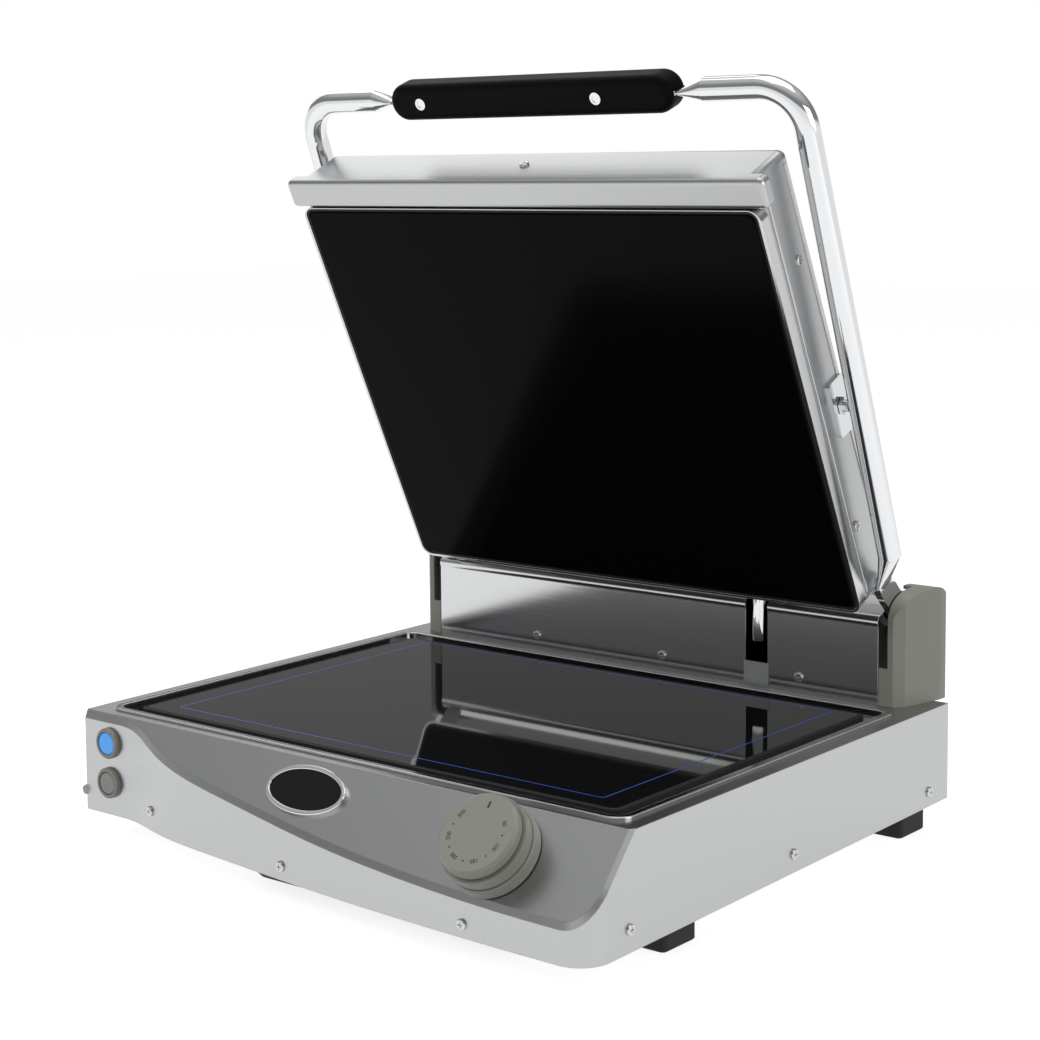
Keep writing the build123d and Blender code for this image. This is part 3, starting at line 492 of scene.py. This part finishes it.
@dataclass
class Controls(SubAssembly):
    """The knob with its scale, the badge and the two buttons."""

    knob_x: float = 0.147
    knob_drop: float = 0.021 / PANEL_SLOPE
    face: float = 0.0248
    scale_radius: float = 0.0178
    scale_start: float = 60
    scale_sweep: float = 240
    figures: tuple[str, ...] = ("50", "100", "150", "200", "250", "300")
    figure_height: float = 0.0036
    print_gap: float = 0.00004
    dot_size: Spot = (0.0009, 0.0009, 0.00012)
    zero_size: Spot = (0.0012, 0.0040, 0.00012)
    button_x: float = -0.202
    button_rises: tuple[float, ...] = (-0.0195, -0.0467)
    button_panel_forward: float = 0.003
    mark_beside_button: float = 0.0142
    mark_gap: float = 0.00003
    mark_size: Spot = (0.0007, 0.00008, 0.0030)
    outward: Vector = field(
        default_factory=lambda: Vector((0, -1, PANEL_SLOPE)).normalized()
    )

    def dress(self) -> None:
        """Put the finishes on the controls' nodes."""
        self.paint.dress(Finishes.KNOB_GREY, "knob")
        self.paint.dress(Finishes.DULL_STEEL, "knob_shaft")
        self.paint.dress(Finishes.CHROME, "badge_rim")
        self.paint.dress(Finishes.BADGE_BLACK, "badge_field")
        self.paint.dress(Finishes.WARM_GREY, "bezel_upper", "bezel_lower")
        self.paint.dress(Finishes.BLUE_LAMP, "button_upper")
        self.paint.dress(Finishes.GREY_BUTTON, "button_lower")

    def face_place(self, angle: float) -> Matrix:
        """A place on the knob's scale that reads outward from its middle.

        Args:
            angle: turn from straight up, clockwise as seen by the user.

        Returns:
            The place, with its Z facing out of the knob.
        """
        across = Vector((1, 0, 0))
        upward = self.outward.cross(across)
        knob_y = back(-self.knob_drop * PANEL_SLOPE)
        middle = Vector((self.knob_x, knob_y, level(-self.knob_drop)))
        way = across * sin(angle) + upward * cos(angle)
        side = way.cross(self.outward)
        spot = middle + way * self.scale_radius + self.outward * (self.face + self.print_gap)
        return turned_place(side, way, self.outward, spot)

    def print_on_knob(self, name: str, mesh: bpy.types.Mesh) -> None:
        """Add a printed mark that turns with the knob.

        Args:
            name: the piece's name.
            mesh: the mark.
        """
        self.paint.add(mesh, name, Finishes.DARK_PRINT, "knob", "knob_plastic")

    def build(self) -> None:
        """Set the knob's figures and marks, and the marks beside the buttons."""
        last = len(self.figures) - 1
        for index, words in enumerate(self.figures):
            name = f"scale_{words}"
            place = self.face_place(radians(self.scale_start + index * self.scale_sweep / last))
            self.print_on_knob(name, text_mesh(name, words, self.figure_height, place))
            if index < last:
                name = f"scale_dot_{index}"
                between = self.scale_start + (index + 0.5) * self.scale_sweep / last
                place = self.face_place(radians(between))
                self.print_on_knob(name, bar_mesh(name, self.dot_size, place))
        name = "scale_zero"
        self.print_on_knob(name, bar_mesh(name, self.zero_size, self.face_place(0.0)))
        mark_x = self.button_x + self.mark_beside_button
        mark_y = back(-self.button_panel_forward) - self.mark_gap
        for index, rise in enumerate(self.button_rises):
            name = f"button_mark_{index}"
            place = Matrix.Translation((mark_x, mark_y, level(rise)))
            mesh = bar_mesh(name, self.mark_size, place)
            self.paint.add(mesh, name, Finishes.DARK_PRINT, "base", "shell_steel")


@dataclass
class Lid(SubAssembly):
    """The glass-faced lid, its folded side walls and its conduit."""

    edge_y: float = 0.3089
    edge_rise: float = 0.0677
    half: float = 0.190
    fold_depths: tuple[float, ...] = (0.0145, 0.0415)
    fold_start: float = 0.006
    fold_end: float = 0.308
    fold_thickness: float = 0.0012
    fold_width: float = 0.0022
    fold_round: float = 0.0005
    fold_proud: float = 0.0002

    def dress(self) -> None:
        """Put the finishes on the lid's nodes."""
        dress = self.paint.dress
        dress(Finishes.SATIN_STEEL, "lid_shell", "lid_rail")
        dress(Finishes.BRIGHT_STEEL, "lid_frame", "lid_screws")
        dress(Finishes.LID_GLASS, "lid_glass")
        dress(Finishes.RUBBER, "lid_seal")
        dress(Finishes.DULL_STEEL, "lid_tray", "lid_element")
        dress(Finishes.WOOL, "lid_insulation")
        dress(Finishes.CHROME, "pivot_plate_left", "pivot_plate_right")
        dress(Finishes.CHROME, "conduit", "conduit_nut")

    def place(self, side: float, along: float, behind: float) -> Matrix:
        """A place on the lid.

        Args:
            side: X of the place.
            along: distance up the lid from its rear edge.
            behind: distance behind the glass.

        Returns:
            The place, with Y up the lid and Z out of its back.
        """
        up_lid = Vector((0, -cos(LID_ANGLE), sin(LID_ANGLE)))
        out_back = Vector((0, sin(LID_ANGLE), cos(LID_ANGLE)))
        edge = Vector((side, back(self.edge_y), level(self.edge_rise)))
        spot = edge + up_lid * along + out_back * behind
        return turned_place(Vector((-1, 0, 0)), up_lid, out_back, spot)

    def build(self) -> None:
        """Add the folds along the lid's side walls."""
        length = self.fold_end - self.fold_start
        middle = (self.fold_end + self.fold_start) / 2
        size = (self.fold_thickness, length, self.fold_width)
        for side, sign in (("left", -1), ("right", 1)):
            for index, depth in enumerate(self.fold_depths):
                name = f"lid_fold_{side}_{index}"
                place = self.place(sign * (self.half + self.fold_proud), middle, depth)
                mesh = bar_mesh(name, size, place, self.fold_round)
                self.paint.add(mesh, name, Finishes.BRIGHT_STEEL, "lid", "lid_shell_steel")


@dataclass
class Arms(SubAssembly):
    """The lifting arms with their hinge stubs, studs and grip."""

    def dress(self) -> None:
        """Put the finishes on the arms' nodes."""
        for side in ("left", "right"):
            self.paint.dress(Finishes.CHROME, f"arm_{side}", f"hinge_stub_{side}")
            self.paint.dress(Finishes.CHROME, f"pivot_stud_{side}", f"grip_screw_{side}")
        self.paint.dress(Finishes.BLACK_GRIP, "grip")


@dataclass(frozen=True)
class SoftLight:
    """A square soft light, its place, side length and power in watts."""

    name: str
    spot: Spot
    size: float
    power: float
    in_metal: bool = True


@dataclass
class Studio:
    """The world, the floor, the lights and the camera."""

    camera_place: Spot = (0.9226, -1.14266, 0.4516)
    camera_turn: float = 40.085
    camera_pitch: float = 5.675
    camera_roll: float = -0.622
    sensor_width: float = 36.0
    lens: float = 77.33
    shift: tuple[float, float] = (0.0661, -0.1295)
    lights: tuple[SoftLight, ...] = (
        SoftLight("key_light", (-1.1, -1.5, 1.5), 1.3, 13.0, in_metal=False),
        SoftLight("top_light", (0.1, 0.1, 1.9), 1.5, 9.0),
        SoftLight("side_light", (1.7, 0.1, 0.7), 1.0, 6.5),
        SoftLight("rear_light", (-1.4, 1.0, 1.5), 1.3, 6.5),
    )
    aim: Spot = (0, 0, 0.2)
    # Height on the background, from horizon to zenith, and its grey there.
    sky: tuple[tuple[float, float], ...] = (
        (0.10, 1.0),
        (0.19, 0.26),
        (0.45, 0.26),
        (0.78, 0.62),
    )
    diffuse_level: float = 0.30
    floor_size: float = 6.0
    floor_grey: float = 0.50
    floor_glow: float = 0.84

    def build(self) -> None:
        """Set up the whole studio."""
        self.build_world()
        self.build_floor()
        for light in self.lights:
            self.add_light(light)
        self.build_camera()

    def build_world(self) -> None:
        """Make the background white near the horizon and grey above it.

        Rays that carry soft light get one plain level instead.
        """
        world = bpy.data.worlds.new("studio")
        bpy.context.scene.world = world
        world.use_nodes = True
        nodes = world.node_tree.nodes
        links = world.node_tree.links
        place = nodes.new("ShaderNodeTexCoord")
        parts = nodes.new("ShaderNodeSeparateXYZ")
        ramp = nodes.new("ShaderNodeValToRGB")
        stops = ramp.color_ramp.elements
        for index, (height, grey) in enumerate(self.sky):
            stop = stops[index] if index < len(stops) else stops.new(height)
            stop.position = height
            stop.color = (grey, grey, grey, 1.0)
        seen = nodes["Background"]
        soft = nodes.new("ShaderNodeBackground")
        soft.inputs["Color"].default_value = (*(self.diffuse_level,) * 3, 1.0)
        mix = nodes.new("ShaderNodeMixShader")
        links.new(place.outputs["Generated"], parts.inputs["Vector"])
        links.new(parts.outputs["Z"], ramp.inputs["Fac"])
        links.new(ramp.outputs["Color"], seen.inputs["Color"])
        links.new(self.direct_rays(nodes, links), mix.inputs["Fac"])
        links.new(soft.outputs["Background"], mix.inputs[1])
        links.new(seen.outputs["Background"], mix.inputs[2])
        links.new(mix.outputs["Shader"], nodes["World Output"].inputs["Surface"])

    def direct_rays(
        self, nodes: bpy.types.Nodes, links: bpy.types.NodeLinks
    ) -> bpy.types.NodeSocket:
        """Tell rays that show the background from rays that carry soft light.

        Args:
            nodes: the nodes of the material or the world.
            links: its links.

        Returns:
            An output that is 1 for camera, glossy and transmission rays.
        """
        path = nodes.new("ShaderNodeLightPath")
        first = nodes.new("ShaderNodeMath")
        first.operation = "MAXIMUM"
        second = nodes.new("ShaderNodeMath")
        second.operation = "MAXIMUM"
        links.new(path.outputs["Is Camera Ray"], first.inputs[0])
        links.new(path.outputs["Is Glossy Ray"], first.inputs[1])
        links.new(first.outputs["Value"], second.inputs[0])
        links.new(path.outputs["Is Transmission Ray"], second.inputs[1])
        return second.outputs["Value"]

    def build_floor(self) -> None:
        """Lay a large white floor that keeps the contact shadow."""
        work = bmesh.new()
        bmesh.ops.create_grid(work, x_segments=1, y_segments=1, size=self.floor_size)
        mesh = finished_mesh(work, "floor")
        floor = stand("floor", mesh)
        material = bpy.data.materials.new("floor_white")
        material.use_nodes = True
        nodes = material.node_tree.nodes
        links = material.node_tree.links
        shader = nodes["Principled BSDF"]
        shader.inputs["Base Color"].default_value = (*(self.floor_grey,) * 3, 1.0)
        shader.inputs["Roughness"].default_value = 1.0
        shader.inputs["Specular IOR Level"].default_value = 0.0
        shader.inputs["Emission Color"].default_value = (1.0, 1.0, 1.0, 1.0)
        glow = nodes.new("ShaderNodeMath")
        glow.operation = "MULTIPLY"
        glow.inputs[1].default_value = self.floor_glow
        links.new(self.direct_rays(nodes, links), glow.inputs[0])
        links.new(glow.outputs["Value"], shader.inputs["Emission Strength"])
        mesh.materials.append(material)

    def add_light(self, light: SoftLight) -> None:
        """Hang a soft light so that it faces the grill.

        Args:
            light: the light.
        """
        data = bpy.data.lights.new(light.name, "AREA")
        data.shape = "SQUARE"
        data.size = light.size
        data.energy = light.power
        lamp = stand(light.name, data)
        lamp.location = light.spot
        aim = Vector(self.aim) - Vector(light.spot)
        lamp.rotation_euler = aim.to_track_quat("-Z", "Y").to_euler()
        lamp.visible_camera = False
        lamp.visible_glossy = light.in_metal

    def build_camera(self) -> None:
        """Place the camera at the photograph's viewing angle."""
        turn = radians(self.camera_turn)
        pitch = radians(self.camera_pitch)
        roll = radians(self.camera_roll)
        forward = Vector((-sin(turn) * cos(pitch), cos(turn) * cos(pitch), -sin(pitch)))
        right = Vector((cos(turn), sin(turn), 0))
        up = right.cross(forward)
        local_x = cos(roll) * right + sin(roll) * up
        local_y = -sin(roll) * right + cos(roll) * up
        data = bpy.data.cameras.new("camera")
        data.sensor_width = self.sensor_width
        data.lens = self.lens
        data.shift_x, data.shift_y = self.shift
        camera = stand("camera", data)
        camera.matrix_world = turned_place(
            local_x, local_y, -forward, Vector(self.camera_place)
        )
        bpy.context.scene.camera = camera


def main() -> None:
    """Build the looks and the studio in order."""
    logging.basicConfig(level=logging.INFO)
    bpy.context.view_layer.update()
    paint = Paintbox()
    for maker in (BaseHousing, CookingSurface, Controls, Lid, Arms):
        group = maker(paint)
        group.dress()
        group.build()
    Studio().build()
    bpy.context.scene.view_settings.view_transform = "Standard"
    for name, choice in paint.worn.items():
        log.info("%s wears %s", name, choice.value.name)
    log.info("grill dressed, %d frame nodes", len(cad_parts))


if __name__ == "__main__":
    main()
